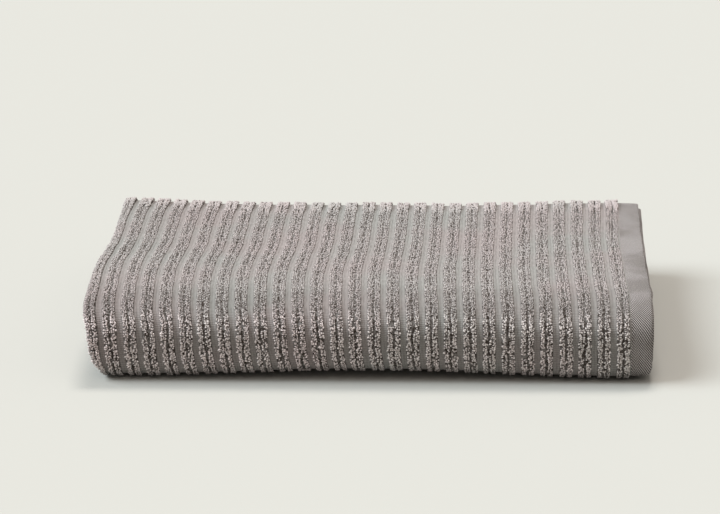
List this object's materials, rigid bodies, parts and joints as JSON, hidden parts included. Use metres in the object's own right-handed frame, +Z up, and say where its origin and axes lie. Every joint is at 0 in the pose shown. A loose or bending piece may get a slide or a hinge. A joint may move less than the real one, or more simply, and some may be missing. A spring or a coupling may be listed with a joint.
{
  "type": "folded bath towel",
  "caption": "Ribbed terry bath towel folded into a flat rectangular pile, with a smooth woven selvedge band along one side, lying flat on a surface.",
  "frame": {"origin": "on the resting surface, under the middle of the folded towel", "axes": "+X runs along the front fold from the folded side to the selvedges, +Y points to the back, where the free ends lie, and +Z points up"},
  "size_m": [0.3514, 0.247, 0.053],
  "materials": {
    "terry": "matt cotton terry, warm grey"
  },
  "bodies": {
    "root": {"towel": "terry"}
  },
  "joints": []
}
